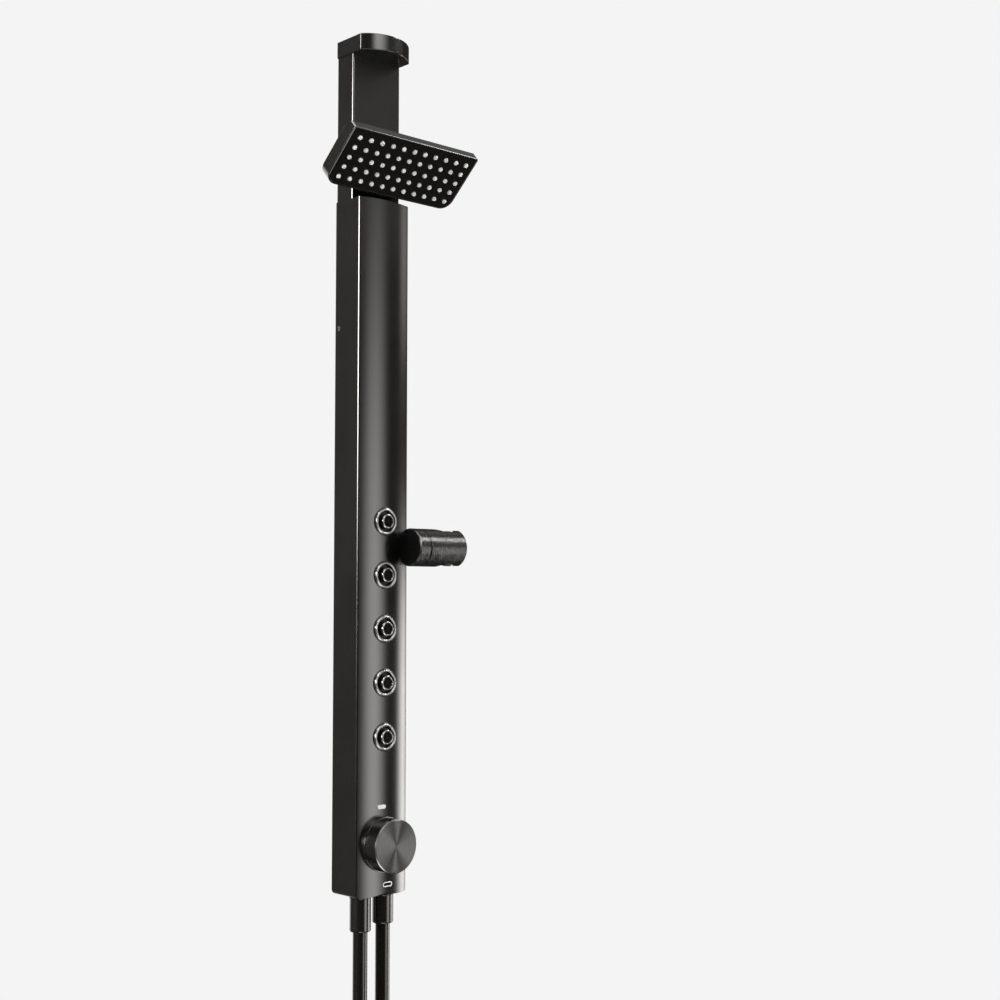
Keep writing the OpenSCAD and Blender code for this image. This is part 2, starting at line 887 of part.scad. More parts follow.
// The barrel on its foot, which is screwed to the back of the head.
module head_swivel() color(charcoal) at_head() difference() {
    union() {
        x_rod(barrel_d, -barrel_len / 2, barrel_len / 2);
        translate([-barrel_len / 2, -barrel_d / 2, head_seat])
            cube([barrel_len, barrel_d / 2, -head_seat]);
        translate([-swivel_web_w / 2, swivel_pad_y, head_seat])
            cube([swivel_web_w, -swivel_pad_y, swivel_pad_t]);
        translate([-swivel_pad_w / 2, swivel_pad_y - barrel_d / 2, head_seat])
            cube([swivel_pad_w, barrel_d, swivel_pad_t]);
    }
    x_rod(pivot_bolt_d + 2 * running_gap, -barrel_len, barrel_len);
    translate([0, 0, head_seat - overrun])
        cylinder(d = head_way_d, h = -head_seat + overrun);
    head_screw_places()
        translate([0, 0, head_seat - overrun])
            cylinder(d = head_screw_d, h = swivel_pad_t + 2 * overrun);
}

module head_screws() color(zinc) at_head() head_screw_places() difference() {
    union() {
        translate([0, 0, head_seat - head_screw_in])
            cylinder(d = head_screw_d, h = head_screw_in + swivel_pad_t);
        translate([0, 0, head_seat + swivel_pad_t])
            cylinder(d = head_screw_head_d, h = head_screw_head_t);
    }
    translate([0, 0, head_seat + swivel_pad_t + head_screw_head_t / 2])
        cylinder(d = head_screw_head_d * socket_share, h = head_screw_head_t, $fn = 6);
}

module riser_manifold() color(grey_plastic) difference() {
    union() {
        translate([0, riser_y, riser_bottom_z])
            cylinder(d = riser_d, h = riser_top_z - riser_bottom_z);
        for (i = [1 : jet_count])
            at_jet(i)
                y_rod(boss_d, riser_y, boss_front_y);
    }
    translate([0, riser_y, riser_bottom_z - overrun])
        cylinder(d = riser_bore_d, h = riser_top_z - riser_bottom_z + 2 * overrun);
    for (i = [1 : jet_count])
        at_jet(i)
            y_rod(jet_spigot_d + 2 * running_gap, riser_y, boss_front_y - overrun);
}

module head_feed_pipe() color(grey_plastic) difference() {
    union() {
        translate([0, riser_y, riser_top_z - feed_joint])
            cylinder(d = feed_d, h = pivot_z - riser_top_z + feed_joint);
        translate([0, riser_y, pivot_z]) {
            sphere(d = feed_d);
            y_rod(feed_d, 0, mount_spigot_back_y - riser_y);
        }
    }
    translate([0, riser_y, riser_top_z - feed_joint - overrun])
        cylinder(d = feed_bore_d, h = pivot_z - riser_top_z + feed_joint + overrun);
    translate([0, riser_y, pivot_z]) {
        sphere(d = feed_bore_d);
        y_rod(feed_bore_d, 0, mount_spigot_back_y - riser_y - overrun);
    }
}

module jet_sockets() color(charcoal)
    for (i = [1 : jet_count])
        at_jet(i)
            difference() {
                union() {
                    y_rod(jet_socket_d, socket_back_y, socket_front_y);
                    y_rod(jet_spigot_d, jet_spigot_back_y, socket_back_y);
                }
                y_rod(bezel_bore_d, socket_front_y + socket_recess, socket_front_y - overrun);
                translate([0, ball_y, 0])
                    sphere(d = jet_ball_d + 2 * running_gap);
                y_rod(jet_ball_d - 2 * ball_lip, ball_y, socket_front_y);
                y_rod(cup_bore_d, jet_spigot_back_y + overrun, ball_y);
            }

module jet_nuts() color(brass)
    for (i = [1 : jet_count])
        at_jet(i)
            difference() {
                y_rod(jet_nut_d, jet_nut_y + jet_nut_t, jet_nut_y, 6);
                y_rod(jet_socket_d, 0, front_y);
            }

module jet_bezel(i) color(polished) at_jet(i) difference() {
    translate([0, bezel_back_y, 0])
        rotate([90, 0, 0])
            rotate_extrude($fn = rim_fn) {
                square([bezel_d / 2 - bezel_edge_r, bezel_t]);
                square([bezel_d / 2, bezel_t - bezel_edge_r]);
                translate([bezel_d / 2 - bezel_edge_r, bezel_t - bezel_edge_r])
                    circle(r = bezel_edge_r);
            }
    y_rod(jet_socket_d + 2 * running_gap, bezel_back_y + overrun, socket_front_y - running_gap);
    y_rod(bezel_bore_d, bezel_back_y + overrun, bezel_back_y - bezel_t - overrun);
}

module jet_cup(i) color(polished) at_jet(i) difference() {
    union() {
        translate([0, ball_y, 0])
            sphere(d = jet_ball_d);
        y_rod(cup_neck_d, ball_y, cup_back_y - cup_neck_in);
        y_rod(jet_cup_d, cup_back_y, cup_front_y);
    }
    y_rod(spray_disc_d + 2 * seat_gap, spray_disc_y + spray_disc_t, cup_front_y - overrun);
    y_rod(cup_bore_d, 0, cup_front_y);
}

module jet_spray_disc(i) color(rubber_black) at_jet(i) difference() {
    y_rod(spray_disc_d, spray_disc_y + spray_disc_t, spray_disc_y);
    for (k = [0 : spray_holes - 1])
        rotate([0, k * 360 / spray_holes, 0])
            translate([spray_hole_pcd / 2, 0, 0])
                y_rod(spray_hole_d, 0, cup_front_y, nozzle_fn);
}

module valve_body() color(brass) difference() {
    union() {
        at_knob()
            y_rod(valve_d, valve_back_y, valve_front_y);
        for (side = [-1, 1])
            translate([side * inlet_x, tail_boss_y, foot_z + foot_h + locknut_t])
                cylinder(d = tail_boss_d, h = knob_h - foot_h - locknut_t);
        translate([0, riser_y, foot_z + knob_h])
            cylinder(d = riser_d, h = valve_d / 2 + riser_stub_h);
    }
    at_knob()
        y_rod(cartridge_d, cartridge_back_y, valve_front_y - overrun);
    for (side = [-1, 1])
        translate([side * inlet_x, -inlet_y, foot_z + foot_h]) {
            cylinder(d = inlet_d, h = tail_in + tail_clear);
            cylinder(d = tail_way_d, h = knob_h - foot_h);
        }
    translate([0, riser_y, foot_z + knob_h])
        cylinder(d = riser_bore_d, h = valve_d);
}

module cartridge() color(grey_plastic) at_knob() difference() {
    union() {
        y_rod(cartridge_d, cartridge_back_y, valve_front_y);
        y_rod(cartridge_neck_d, valve_front_y, cartridge_neck_y);
    }
    y_rod(spindle_d + 2 * running_gap, spindle_back_y + clear_gap, cartridge_neck_y - overrun);
}

module cartridge_nut() color(brass) at_knob() difference() {
    y_rod(cartridge_nut_d, valve_front_y, valve_front_y - cartridge_nut_t, 6);
    y_rod(cartridge_neck_d, 0, front_y);
}

module spindle() color(brass) at_knob()
    y_rod(spindle_d, spindle_back_y, spindle_front_y);

// A ring whose back follows the column's round front.
module knob_trim() color(charcoal) difference() {
    at_knob()
        y_rod(trim_d, trim_front_y + trim_reach, trim_front_y, rim_fn);
    translate([0, 0, foot_z + knob_h - knob_d])
        linear_extrude(2 * knob_d)
            column_outline();
    at_knob()
        y_rod(trim_bore_d, 0, trim_front_y - overrun);
}

module knob() color(satin_black) at_knob() difference() {
    translate([0, knob_back_y, 0])
        rotate([90, 0, 0])
            rotate_extrude($fn = knob_fn)
                polygon([
                    [0, 0], [knob_d / 2 - knob_rear_chamfer, 0], [knob_d / 2, knob_rear_chamfer],
                    [knob_d / 2, knob_len - knob_chamfer], [knob_d / 2 - knob_chamfer, knob_len],
                    [0, knob_len]]);
    difference() {
        y_rod(knob_d - 2 * knob_wall, knob_back_y + overrun, knob_front_y + knob_wall);
        y_rod(knob_hub_d, knob_back_y, knob_front_y);
    }
    y_rod(spindle_d, knob_back_y + overrun, spindle_front_y);
    translate([0, set_screw_y, -knob_d])
        cylinder(d = set_screw_d, h = knob_d);
}

module knob_set_screw() color(zinc) at_knob()
    translate([0, set_screw_y, -knob_hub_d / 2])
        difference() {
            cylinder(d = set_screw_d, h = knob_hub_d / 2 - spindle_d / 2);
            translate([0, 0, -overrun])
                cylinder(d = set_screw_d * socket_share, h = 2 * overrun, $fn = 6);
        }

module inlet_tails() color(brass)
    for (side = [-1, 1])
        translate([side * inlet_x, -inlet_y, foot_z - tail_out])
            difference() {
                cylinder(d = inlet_d, h = tail_out + foot_h + tail_in);
                translate([0, 0, -overrun])
                    cylinder(d = tail_bore_d, h = tail_out + foot_h + tail_in + 2 * overrun);
            }

module inlet_locknuts() color(brass)
    for (side = [-1, 1])
        translate([side * inlet_x, -inlet_y, foot_z + foot_h])
            difference() {
                cylinder(d = locknut_d, h = locknut_t, $fn = 6);
                translate([0, 0, -overrun])
                    cylinder(d = inlet_d, h = locknut_t + 2 * overrun);
            }

// A disc on its neck and stud. The neck's root follows the column's round front.
module holder_base() color(satin_black) difference() {
    union() {
        at_holder()
            translate([holder_x, 0, 0])
                rotate([0, 90, 0])
                    rotate_extrude($fn = rim_fn)
                        polygon([
                            [0, 0], [holder_d / 2 - holder_chamfer, 0], [holder_d / 2, holder_chamfer],
                            [holder_d / 2, holder_base_len - holder_break],
                            [holder_d / 2 - holder_break, holder_base_len], [0, holder_base_len]]);
        difference() {
            at_holder_neck()
                y_rod(holder_neck_d, front_y + column_bulge, holder_y);
            translate([0, 0, foot_z + holder_h - holder_d / 2])
                linear_extrude(holder_d)
                    column_outline();
        }
        at_holder_neck()
            y_rod(holder_stud_d, holder_stud_back_y, holder_y);
    }
    at_holder()
        x_rod(axle_d, holder_x + axle_root, holder_arm_x);
}

module holder_nut() color(brass) at_holder_neck() difference() {
    y_rod(holder_nut_d, holder_nut_y + holder_nut_t, holder_nut_y, 6);
    y_rod(holder_stud_d, 0, front_y);
}

module holder_washer() color(rubber_black) at_holder() difference() {
    x_rod(holder_washer_d, holder_x + holder_base_len, holder_x + holder_base_len + holder_washer_t);
    x_rod(axle_d + 2 * running_gap, holder_x, holder_arm_x);
}

module holder_axle() color(zinc) at_holder() {
    head_x = holder_arm_x + axle_grip;
    difference() {
        union() {
            x_rod(axle_d, holder_x + axle_root, head_x + axle_head_t);
            x_rod(axle_head_d, head_x + running_gap, head_x + axle_head_t);
        }
        x_rod(bolt_socket_d, head_x + axle_head_t / 2, head_x + axle_head_t + overrun, 6);
    }
}

// A cylinder with an upright bore for the handset, which a slot opens to the right.
module holder_arm() color(satin_black) at_holder() difference() {
    translate([holder_arm_x, 0, 0])
        rotate([0, 90, 0])
            rotate_extrude($fn = rim_fn)
                polygon([
                    [0, 0], [holder_d / 2 - holder_break, 0], [holder_d / 2, holder_break],
                    [holder_d / 2, holder_arm_len - 2 * holder_chamfer],
                    [holder_d / 2 - 2 * holder_chamfer, holder_arm_len], [0, holder_arm_len]]);
    x_rod(axle_d + 2 * running_gap, holder_arm_x - overrun, holder_arm_x + axle_grip + overrun);
    x_rod(axle_head_d + 2 * clear_gap, holder_arm_x + axle_grip, handset_x);
    translate([handset_x, 0, -holder_d])
        cylinder(d = handset_bore_d, h = 2 * holder_d);
    translate([handset_x, 0, holder_d / 2 - handset_lead])
        cylinder(d1 = handset_bore_d, d2 = handset_bore_d + 2 * handset_lead, h = handset_lead);
    translate([handset_x, -handset_slot_w / 2, -holder_d])
        cube([holder_arm_len, handset_slot_w, 2 * holder_d]);
}

module upper_mark() color("white") on_front(upper_mark_x) translate([0, 0, upper_mark_z])
    pill(upper_mark_w - 2 * seat_gap, upper_mark_d - 2 * seat_gap, front_y + mark_t, front_y - mark_proud);

module lower_mark() color("white") on_front(lower_mark_x) translate([0, 0, lower_mark_z])
    pill(lower_mark_w - 2 * seat_gap, lower_mark_d - 2 * seat_gap, front_y + mark_t, front_y - mark_proud);

// A coupling nut with a collar at the top and a chamfer at the bottom.
module hose_nut(side) {
    collar_r = nut_d / 2 + nut_collar_proud;
    h = nut_height(side);
    translate([side * inlet_x, -inlet_y, nut_bottom_z(side)])
        difference() {
            rotate_extrude($fn = rim_fn)
                polygon([
                    [0, 0], [nut_d / 2 - nut_chamfer, 0], [nut_d / 2, nut_chamfer],
                    [nut_d / 2, h - nut_collar_h], [collar_r, h - nut_collar_h],
                    [collar_r, h], [0, h]]);
            translate([0, 0, h + nut_gap - tail_out])
                cylinder(d = inlet_d, h = tail_out);
            translate([0, 0, -overrun])
                cylinder(d = tail_bore_d, h = h);
        }
}

// A nut with a threaded mouth below.
module end_nut(side) {
    translate([side * inlet_x, -inlet_y, nut_bottom_z(side) - hose_len - end_nut_h])
        difference() {
            rotate_extrude($fn = rim_fn)
                polygon([
                    [0, 0], [nut_d / 2 - nut_chamfer, 0], [nut_d / 2, nut_chamfer],
                    [nut_d / 2, end_nut_h - nut_chamfer], [nut_d / 2 - nut_chamfer, end_nut_h],
                    [0, end_nut_h]]);
            translate([0, 0, -overrun])
                cylinder(d = end_thread_d, h = end_thread_h + overrun);
        }
}

module hose_nut_left() color(charcoal) hose_nut(-1);
module hose_nut_right() color(charcoal) hose_nut(1);
module hose_end_nut_left() color(charcoal) end_nut(-1);
module hose_end_nut_right() color(charcoal) end_nut(1);

// A straight hanging tube: one ring of points at each place along the route.
module hose(side) {
    rings = len(hose_route_shares);
    points = [
        for (s = hose_route_shares)
            for (a = [0 : hose_sides - 1])
                [side * inlet_x + hose_d / 2 * cos(360 * a / hose_sides),
                 -inlet_y + hose_d / 2 * sin(360 * a / hose_sides),
                 nut_bottom_z(side) - hose_len * s]];
    walls = [
        for (k = [0 : rings - 2])
            for (a = [0 : hose_sides - 1])
                let (b = (a + 1) % hose_sides)
                    each [
                        [k * hose_sides + a, k * hose_sides + b, (k + 1) * hose_sides + a],
                        [k * hose_sides + b, (k + 1) * hose_sides + b, (k + 1) * hose_sides + a]]];
    top = [for (a = [1 : hose_sides - 2]) [0, a + 1, a]];
    low = [for (a = [1 : hose_sides - 2]) [0, a, a + 1] + [1, 1, 1] * (rings - 1) * hose_sides];
    polyhedron(points = points, faces = concat(walls, top, low));
}

module supply_hose_left() color(charcoal) hose(-1);
module supply_hose_right() color(charcoal) hose(1);

column_housing();
upper_housing();
shoulder_plate();
top_cap();
foot_cap();
upper_bracket();
lower_bracket();
hanger_bar();
side_screws();
head_mount();
head_mount_nut();
pivot_bolt();
pivot_nut();
pivot_washers();
head_shell();
nozzle_mat();
head_face_plate();
head_swivel();
head_screws();
riser_manifold();
head_feed_pipe();
jet_sockets();
jet_nuts();
valve_body();
cartridge();
cartridge_nut();
spindle();
knob_trim();
knob();
knob_set_screw();
inlet_tails();
inlet_locknuts();
holder_base();
holder_nut();
holder_washer();
holder_axle();
holder_arm();
upper_mark();
lower_mark();
hose_nut_left();
hose_nut_right();
supply_hose_left();
supply_hose_right();
hose_end_nut_left();
hose_end_nut_right();
for (i = [1 : jet_count]) {
    jet_bezel(i);
    jet_cup(i);
    jet_spray_disc(i);
}
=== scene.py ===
"""Finishes, rounded pieces, hoses, light and camera for a wall-hung shower column.

Lengths are in metres in the model's own frame: X to the right of someone who faces the
column, Y into the wall, Z up. Profiles of turned pieces are in millimetres. Directions of
light are an azimuth, from straight in front of the column towards its right, and an elevation
above the horizon, both in degrees.
"""
import json
import math

import bmesh
import bpy
import numpy as np
from mathutils import Matrix, Vector


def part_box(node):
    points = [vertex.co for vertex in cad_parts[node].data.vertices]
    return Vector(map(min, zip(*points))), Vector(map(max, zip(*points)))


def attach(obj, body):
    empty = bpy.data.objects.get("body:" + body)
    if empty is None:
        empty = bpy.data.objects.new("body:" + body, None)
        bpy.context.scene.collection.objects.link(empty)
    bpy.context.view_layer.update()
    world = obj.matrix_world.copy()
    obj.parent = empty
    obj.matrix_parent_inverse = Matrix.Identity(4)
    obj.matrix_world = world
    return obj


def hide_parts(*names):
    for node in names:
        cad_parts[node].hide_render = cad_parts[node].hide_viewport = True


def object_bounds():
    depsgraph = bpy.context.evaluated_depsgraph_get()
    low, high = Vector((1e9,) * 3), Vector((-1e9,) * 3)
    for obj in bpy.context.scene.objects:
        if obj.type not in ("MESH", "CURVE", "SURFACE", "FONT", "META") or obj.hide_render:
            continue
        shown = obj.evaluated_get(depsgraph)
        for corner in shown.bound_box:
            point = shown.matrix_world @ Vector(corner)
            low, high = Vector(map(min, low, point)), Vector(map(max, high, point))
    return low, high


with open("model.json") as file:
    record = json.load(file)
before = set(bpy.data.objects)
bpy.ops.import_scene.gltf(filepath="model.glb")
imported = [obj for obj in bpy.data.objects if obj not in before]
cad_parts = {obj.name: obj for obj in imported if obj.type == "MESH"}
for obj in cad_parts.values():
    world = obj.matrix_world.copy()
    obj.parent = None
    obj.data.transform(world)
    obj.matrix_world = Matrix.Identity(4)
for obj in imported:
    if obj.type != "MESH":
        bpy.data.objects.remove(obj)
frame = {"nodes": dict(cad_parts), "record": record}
cad_low, cad_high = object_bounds()
NODES = frame["nodes"]
MM = 0.001
JETS = [name[-1] for name in sorted(NODES) if name.startswith("jet_bezel_")]


# Camera

CAMERA_PLACE = (-1.12016, -1.41656, -0.59041)
CAMERA_AZIMUTH = math.radians(43.634)
CAMERA_PITCH = math.radians(3.6852)
CAMERA_LENS = 54.735


def make_camera():
    """Looks along the azimuth, turned from +Y towards +X, and up by the pitch, with no roll."""
    data = bpy.data.cameras.new("camera")
    data.lens = CAMERA_LENS
    data.sensor_width = 36.0
    data.clip_start = 0.05
    data.clip_end = 60.0
    camera = add("camera", data)
    sin_a, cos_a = math.sin(CAMERA_AZIMUTH), math.cos(CAMERA_AZIMUTH)
    sin_p, cos_p = math.sin(CAMERA_PITCH), math.cos(CAMERA_PITCH)
    right = Vector((cos_a, -sin_a, 0))
    ahead = Vector((sin_a * cos_p, cos_a * cos_p, sin_p))
    turn = Matrix((right, right.cross(ahead), -ahead)).transposed()
    camera.matrix_world = Matrix.Translation(CAMERA_PLACE) @ turn.to_4x4()
    bpy.context.scene.camera = camera


# Node materials

COAT_WARMTH = 0.02
COAT_RELIEF = 0.002 * MM
MOULD_RELIEF = 0.004 * MM
SAND_RELIEF = 0.02 * MM
PLATE_RELIEF = 0.004 * MM
QUARTER_TURN = 0.25


def add_node(tree, kind, inputs=(), **settings):
    """A new node. Settings are its properties, and inputs are values or other nodes' sockets by
    the name or number of its own socket."""
    made = tree.nodes.new(kind)
    for key, value in settings.items():
        setattr(made, key, value)
    for key, value in dict(inputs).items():
        if isinstance(value, bpy.types.NodeSocket):
            tree.links.new(value, made.inputs[key])
        else:
            made.inputs[key].default_value = value
    return made


class Finish:
    """A Principled surface and the few nodes that vary it."""

    def __init__(self, name, **sockets):
        self.material = bpy.data.materials.new(name)
        self.material.use_nodes = True
        self.tree = self.material.node_tree
        self.shader = self.tree.nodes["Principled BSDF"]
        self.coords = self.node("ShaderNodeTexCoord").outputs["Object"]
        self.put(**sockets)

    def put(self, **sockets):
        """Sets sockets of the shader, whose names are written with _ for a space."""
        for key, value in sockets.items():
            socket = self.shader.inputs[key.replace("_", " ")]
            if isinstance(value, bpy.types.NodeSocket):
                self.tree.links.new(value, socket)
            else:
                socket.default_value = value

    def node(self, kind, inputs=(), **settings):
        """A new node in this tree."""
        return add_node(self.tree, kind, inputs, **settings)

    def noise(self, size, stretch=(1, 1, 1), detail=3.0, coords=None):
        """Noise whose patches are about size across, longer along an axis whose stretch is small."""
        scaled = self.node("ShaderNodeMapping", {"Vector": coords or self.coords, "Scale": stretch})
        made = self.node("ShaderNodeTexNoise", {"Vector": scaled.outputs[0], "Scale": 1 / size,
                                                "Detail": detail, "Roughness": 0.55})
        return made.outputs["Fac"]

    def between(self, value, low, high):
        """Spreads a noise value over low to high."""
        made = self.node("ShaderNodeMapRange", {"Value": value, "From Min": 0.3, "From Max": 0.7,
                                                "To Min": low, "To Max": high})
        return made.outputs["Result"]

    def blend(self, value, dark, light):
        """Blends from the dark to the light colour by a noise value."""
        spread = self.between(value, 0.0, 1.0)
        made = self.node("ShaderNodeMix", {0: spread, 6: (*dark, 1), 7: (*light, 1)}, data_type="RGBA")
        return made.outputs[2]

    def bump(self, height, depth):
        """Turns a height from 0 to 1 into relief that is depth deep."""
        made = self.node("ShaderNodeBump", {"Height": height, "Distance": depth})
        self.put(Normal=made.outputs["Normal"])


def grey(level, warm=0.0):
    """A grey, with a little more red than blue if warm is above zero."""
    return (level * (1 + warm), level, level * (1 - warm))


def coated(name, level, roughness, ior, grain=2 * MM):
    """Satin coating: fine orange-peel relief, and faint cloudy changes of tone and gloss."""
    finish = Finish(name, IOR=ior)
    cloud = finish.noise(60 * MM)
    dark, light = grey(level * 0.85, COAT_WARMTH), grey(level * 1.15, COAT_WARMTH)
    finish.put(
        Base_Color=finish.blend(cloud, dark, light),
        Roughness=finish.between(cloud, roughness * 0.94, roughness * 1.06))
    finish.bump(finish.noise(grain), COAT_RELIEF)
    return finish


def brushed(name, level, roughness, stretch, metallic=1.0, hair=0.4 * MM, depth=0.003 * MM, ior=1.5):
    """Metal or coat with fine hairlines along the axis whose stretch is small, or with an even
    grain where the stretch is the same along all three."""
    finish = Finish(name, IOR=ior, Metallic=metallic)
    hairs = finish.noise(hair, stretch)
    bands = finish.noise(hair * 6, stretch)
    finish.put(
        Base_Color=finish.blend(bands, grey(level * 0.8), grey(level * 1.2)),
        Roughness=finish.between(hairs, roughness * 0.8, roughness * 1.2))
    finish.bump(hairs, depth)
    return finish


def moulded(name, level, roughness, ior=1.5):
    """Moulded plastic or rubber: a fine even grain and slow changes of tone."""
    finish = Finish(name, IOR=ior)
    cloud = finish.noise(14 * MM)
    grain = finish.noise(0.3 * MM)
    finish.put(
        Base_Color=finish.blend(cloud, grey(level * 0.88), grey(level * 1.1)),
        Roughness=finish.between(grain, roughness * 0.92, roughness * 1.08))
    finish.bump(grain, MOULD_RELIEF)
    return finish


def turned(name, level, roughness, anisotropy):
    """Spun metal: rings that follow the piece's own UV map, round which the gloss is drawn out."""
    finish = Finish(name, Metallic=1.0, Anisotropic=anisotropy, Anisotropic_Rotation=QUARTER_TURN)
    uv = finish.node("ShaderNodeUVMap", uv_map="turning").outputs["UV"]
    along = finish.node("ShaderNodeSeparateXYZ", {"Vector": uv}).outputs["Y"]
    across = finish.node("ShaderNodeCombineXYZ", {"X": along}).outputs[0]
    rings = finish.noise(0.35 * MM, detail=2.0, coords=across)
    wide = finish.noise(2.6 * MM, detail=2.0, coords=across)
    finish.put(
        Base_Color=finish.blend(wide, grey(level * 0.85), grey(level * 1.15)),
        Roughness=finish.between(rings, roughness * 0.85, roughness * 1.15),
        Tangent=finish.node("ShaderNodeTangent", direction_type="UV_MAP", uv_map="turning").outputs[0])
    return finish


def cast_brass(name):
    """Unplated brass with a faintly sandy skin."""
    finish = Finish(name, Metallic=1.0)
    cloud = finish.noise(9 * MM)
    sand = finish.noise(0.5 * MM)
    finish.put(
        Base_Color=finish.blend(cloud, (0.50, 0.36, 0.15), (0.64, 0.48, 0.22)),
        Roughness=finish.between(sand, 0.28, 0.42))
    finish.bump(sand, SAND_RELIEF)
    return finish


def zinc_plate(name):
    """Zinc plating: a faintly cloudy, slightly blue grey metal."""
    finish = Finish(name, Metallic=1.0)
    cloud = finish.noise(9 * MM, detail=1.0)
    finish.put(
        Base_Color=finish.blend(cloud, (0.46, 0.47, 0.49), (0.56, 0.57, 0.59)),
        Roughness=finish.between(cloud, 0.27, 0.35))
    finish.bump(finish.noise(4 * MM), PLATE_RELIEF)
    return finish


def make_finishes():
    """A finish for each material slot of the record, then the finishes of parts of a piece."""
    made = {
        "satin_black": coated("satin black coat", 0.0035, 0.17, 1.9),
        "cap_black": brushed("brushed black coat", 0.004, 0.17, (1, 1, 22), metallic=0.0, ior=1.9),
        "polished_metal": brushed("polished metal", 0.48, 0.26, (1, 1, 1), depth=0.001 * MM),
        "raw_brass": cast_brass("cast brass"),
        "grey_pipe": moulded("grey pipe plastic", 0.30, 0.42),
        "zinc_steel": zinc_plate("zinc plate"),
        "black_rubber": moulded("black rubber", 0.001, 0.22, ior=1.24),
        "grey_silicone": moulded("light grey silicone", 0.95, 0.26),
        "dark_plastic": moulded("dark moulded plastic", 0.005, 0.34),
        "brushed_black": turned("spun black metal", 0.14, 0.36, 0.94),
        "white_print": moulded("white inlay", 0.95, 0.35),
        "hose_black": coated("smooth black hose", 0.003, 0.19, 1.6, grain=6 * MM),
        "nut_black": coated("satin black nut", 0.003, 0.19, 1.8),
        "head_black": coated("satin black head", 0.003, 0.20, 1.8),
        "face_black": moulded("black spray face", 0.0015, 0.30),
        "cup_metal": turned("dark turned cup", 0.40, 0.20, 0.2),
        "turned_black": brushed(
            "turned black coat", 0.004, 0.22, (1, 0.03, 0.03), metallic=0.0, hair=1.0 * MM,
            depth=0.8 * MM, ior=1.8),
        "bright_edge": turned("bright cut edge", 0.23, 0.36, 0.5),
    }
    return {name: finish.material for name, finish in made.items()}


# Surfaces

X_AXIS, Y_AXIS, Z_AXIS = (1, 0, 0), (0, 1, 0), (0, 0, 1)
# The rows are where a swept piece's two outline axes and its height point
STANDING = (X_AXIS, Y_AXIS, Z_AXIS)
FACING_FRONT = (X_AXIS, Z_AXIS, (0, -1, 0))


def rounded(corners, steps=6, closed=True):
    """Corner points (u, v, radius) joined by straight runs, with an arc of that radius that
    touches both runs at each corner, or at each but the ends of an open line. Gives the points
    and the unit normals, which are the tangent turned a quarter to the right."""
    xy = np.array([corner[:2] for corner in corners], float)
    ahead = np.roll(xy, -1, 0) - xy
    ahead /= np.linalg.norm(ahead, axis=1)[:, None]
    back = np.roll(ahead, 1, 0)
    turn = np.arctan2(back[:, 0] * ahead[:, 1] - back[:, 1] * ahead[:, 0], (back * ahead).sum(1))
    start = np.arctan2(back[:, 1], back[:, 0])
    heading = start[:, None] + turn[:, None] * np.linspace(0, 1, steps + 1)
    outward = np.stack([np.sin(heading), -np.cos(heading)], 2)
    side = np.sign(turn)[:, None]
    radius = np.array([corner[2] for corner in corners], float)[:, None]
    middle = xy - back * radius * np.tan(abs(turn) / 2)[:, None]
    middle -= np.stack([back[:, 1], -back[:, 0]], 1) * radius * side
    points = middle[:, None] + outward * (radius * side)[:, :, None]
    if not closed:
        first, last = ahead[0], back[-1]
        points = np.concatenate([xy[:1], points[1:-1].reshape(-1, 2), xy[-1:]])
        outward = np.concatenate([
            [[first[1], -first[0]]], outward[1:-1].reshape(-1, 2), [[last[1], -last[0]]]])
    return points.reshape(-1, 2), outward.reshape(-1, 2)


def turned_profile(corners, closed=True):
    """The rounded profile through corner points given in millimetres."""
    return rounded([tuple(value * MM for value in corner) for corner in corners], closed=closed)


def ring(count):
    """A unit circle as an outline of no size whose normals point all round, for turned pieces."""
    angle = np.linspace(0, 2 * math.pi, count, endpoint=False)
    normals = np.stack([np.cos(angle), np.sin(angle)], 1)
    return np.zeros_like(normals), normals


